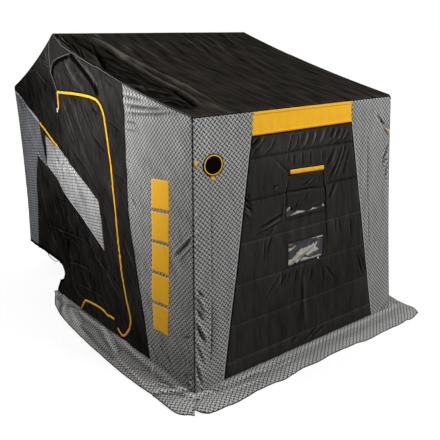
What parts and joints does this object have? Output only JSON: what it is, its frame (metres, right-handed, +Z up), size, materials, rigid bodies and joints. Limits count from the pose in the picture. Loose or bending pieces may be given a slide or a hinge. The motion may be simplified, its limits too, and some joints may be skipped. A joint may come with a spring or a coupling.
{
  "type": "flip-over ice fishing hut",
  "caption": "One-person flip-over ice fishing hut: a padded fabric shell with windows and zipped doors on a fan of folding pole bows, with a ground skirt.",
  "frame": {"origin": "on the ground under the middle of the hut's overall box", "axes": "+Y towards the back, so the window wall faces -Y; +X to the right seen from the front; +Z up"},
  "size_m": [1.88, 2.352, 1.6979],
  "materials": {
    "roof_fabric": "coated black cloth, slack and wrinkled",
    "dark_fabric": "coated black cloth, padded",
    "quilted_fabric": "black quilted cloth with stitched rows",
    "light_fabric": "grey cloth woven with a fine dark diagonal check",
    "skirt_fabric": "grey cloth with a fine dark check, edge bound",
    "amber_tape": "amber cloth and zip tape",
    "hem_binding": "black webbing",
    "window_film": "clear flexible film",
    "pole_tube": "drawn tube",
    "moulded_fittings": "moulded nylon",
    "bracket_steel": "zinc plated sheet steel",
    "bolt_steel": "zinc plated",
    "patch": "moulded black patch",
    "cord": "braided elastic cord"
  },
  "bodies": {
    "root": {"base_bow": "pole_tube", "bow_elbows": "moulded_fittings", "front_banner": "amber_tape", "front_bow": "pole_tube", "front_center_panel": "quilted_fabric", "front_left_panel": "light_fabric", "front_patch": "patch", "front_right_panel": "light_fabric", "front_skirt": "skirt_fabric", "hem_cord": "cord", "hem_cord_sleeves": "moulded_fittings", "left_corner_panel": "light_fabric", "left_door_panel": "dark_fabric", "left_door_zip": "amber_tape", "left_hem_binding": "hem_binding", "left_lower_panel": "dark_fabric", "left_pivot_bolt": "bolt_steel", "left_pivot_bracket": "bracket_steel", "left_rear_panel": "light_fabric", "left_skirt": "skirt_fabric", "left_slash_panel": "light_fabric", "left_upper_panel": "dark_fabric", "leg_eyes": "moulded_fittings", "lower_window": "window_film", "rear_bow": "pole_tube", "rear_center_panel": "dark_fabric", "rear_hem_binding": "hem_binding", "rear_left_band": "light_fabric", "rear_right_band": "light_fabric", "ridge_bow": "pole_tube", "right_corner_panel": "light_fabric", "right_door_panel": "dark_fabric", "right_door_zip": "amber_tape", "right_hem_binding": "hem_binding", "right_lower_panel": "dark_fabric", "right_pivot_bolt": "bolt_steel", "right_pivot_bracket": "bracket_steel", "right_rear_panel": "light_fabric", "right_skirt": "skirt_fabric", "right_slash_panel": "light_fabric", "right_upper_panel": "dark_fabric", "roof_front": "roof_fabric", "roof_rear": "roof_fabric", "tie_tabs": "amber_tape", "upper_window": "window_film", "window_strip": "amber_tape"}
  },
  "joints": []
}
